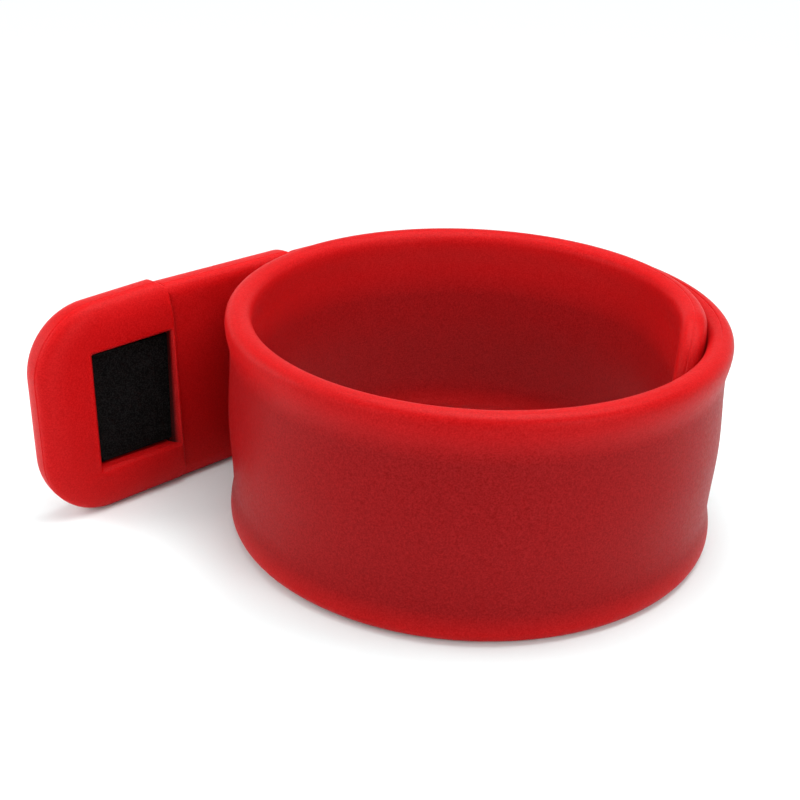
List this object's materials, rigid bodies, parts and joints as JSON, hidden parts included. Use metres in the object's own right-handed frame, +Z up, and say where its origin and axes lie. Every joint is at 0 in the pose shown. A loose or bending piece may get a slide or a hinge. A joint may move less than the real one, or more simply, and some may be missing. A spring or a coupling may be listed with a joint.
{
  "type": "usb flash drive bracelet",
  "caption": "Silicone slap bracelet curled up on its long edge, with a flash drive and a pull-off windowed cap on its straight end.",
  "frame": {"origin": "on the wrist's axis, level with the surface the bracelet stands on", "axes": "+Z up along the wrist's axis; +X across the coil, away from the drive; +Y towards the back, where the layers overlap"},
  "size_m": [0.0692, 0.0518, 0.0238],
  "materials": {
    "silicone": "matte moulded silicone",
    "plug_plastic": "matte black moulded plastic",
    "contact_metal": "gold-plated"
  },
  "bodies": {
    "bracelet": {"strap": "silicone", "drive_housing": "silicone", "usb_plug": "plug_plastic", "contact_1": "contact_metal", "contact_2": "contact_metal", "contact_3": "contact_metal", "contact_4": "contact_metal"},
    "cap": {"cap": "silicone"}
  },
  "joints": [
    {"name": "cap_slide", "type": "slide", "parent": "bracelet", "child": "cap", "axis": [-0.7071, -0.7071, 0], "range_m": [0, 0.014]}
  ]
}
